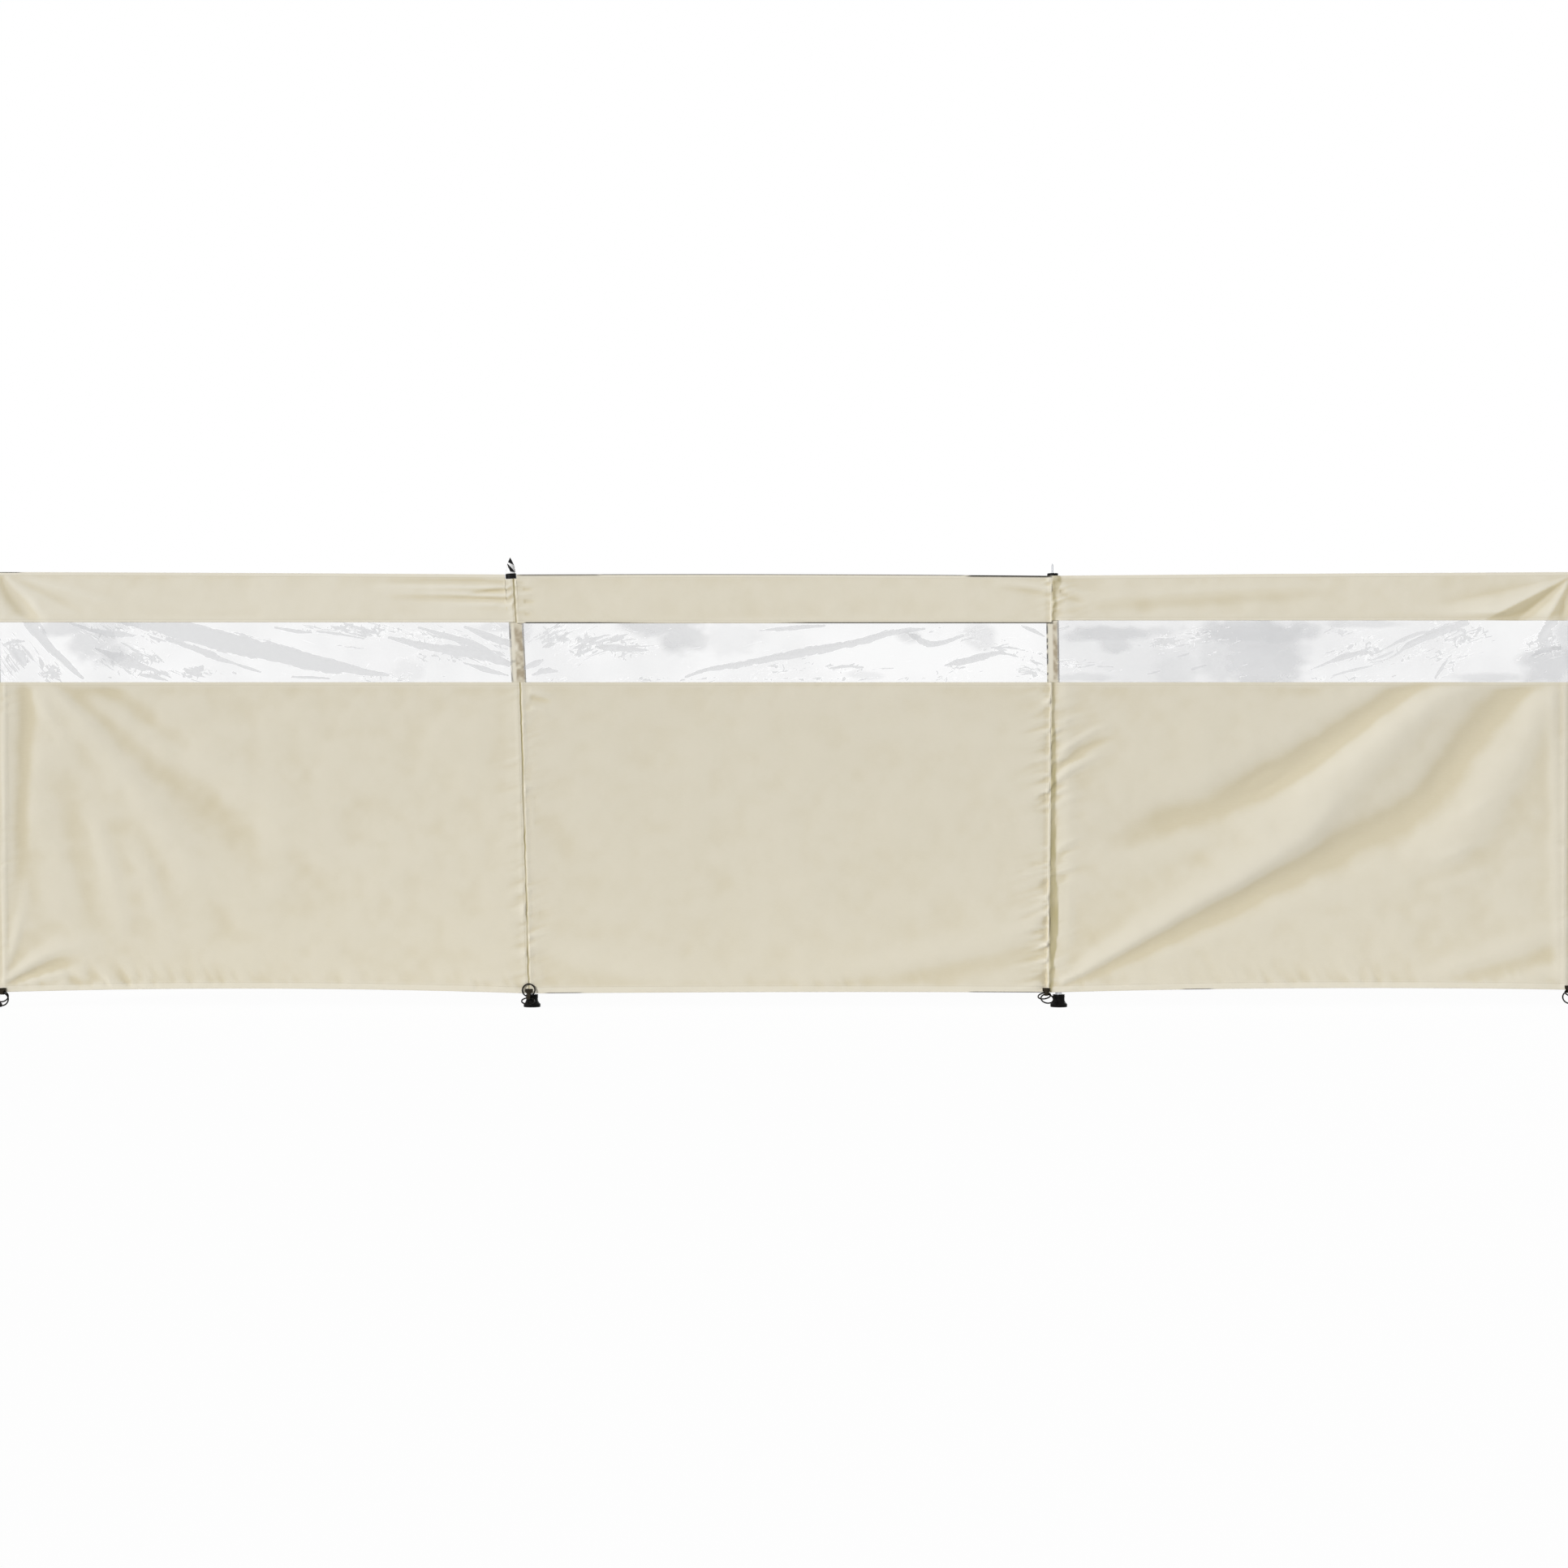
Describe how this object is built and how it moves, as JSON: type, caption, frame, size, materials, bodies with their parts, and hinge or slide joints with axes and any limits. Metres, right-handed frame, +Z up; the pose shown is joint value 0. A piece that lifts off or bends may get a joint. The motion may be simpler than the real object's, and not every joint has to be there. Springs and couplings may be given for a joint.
{
  "type": "beach windbreak",
  "caption": "Cloth beach windbreak of joined bays with a clear window band, held between leaning steel posts with rubber feet, peg rings and top spikes.",
  "frame": {"origin": "under the middle of the first post's foot, on the ground", "axes": "+X along the windbreak, to the right as seen from its front; +Y from the cloth's front to the posts behind it; +Z up"},
  "size_m": [5.1529, 0.0922, 1.4413],
  "materials": {
    "cloth": "plain weave, matt",
    "sleeve_cloth": "plain weave, matt",
    "clear_film": "clear soft film, wrinkled",
    "steel_tube": "zinc plated",
    "bright_steel": "polished",
    "rubber": "matt moulded",
    "ring_rubber": "smooth",
    "black_plastic": "moulded",
    "cone_plastic": "glossy",
    "webbing": "woven tape"
  },
  "bodies": {
    "root": {"post_1": "steel_tube", "post_2": "steel_tube", "post_3": "steel_tube", "post_4": "steel_tube", "foot_1": "rubber", "foot_2": "rubber", "foot_3": "rubber", "foot_4": "rubber", "collar_1": "black_plastic", "collar_2": "black_plastic", "collar_3": "black_plastic", "collar_4": "black_plastic", "spike_1": "bright_steel", "spike_2": "bright_steel", "spike_3": "bright_steel", "spike_4": "bright_steel", "point_cone_2": "cone_plastic", "sleeve_1": "sleeve_cloth", "sleeve_2": "sleeve_cloth", "sleeve_3": "sleeve_cloth", "sleeve_4": "sleeve_cloth", "tab_1": "webbing", "tab_2": "webbing", "tab_3": "webbing", "tab_4": "webbing", "peg_rings_1": "ring_rubber", "peg_rings_2": "ring_rubber", "peg_rings_3": "ring_rubber", "peg_rings_4": "ring_rubber", "lower_panel_1": "cloth", "lower_panel_2": "cloth", "lower_panel_3": "cloth", "window_1": "clear_film", "window_2": "clear_film", "window_3": "clear_film", "upper_band_1": "cloth", "upper_band_2": "cloth", "upper_band_3": "cloth"}
  },
  "joints": []
}
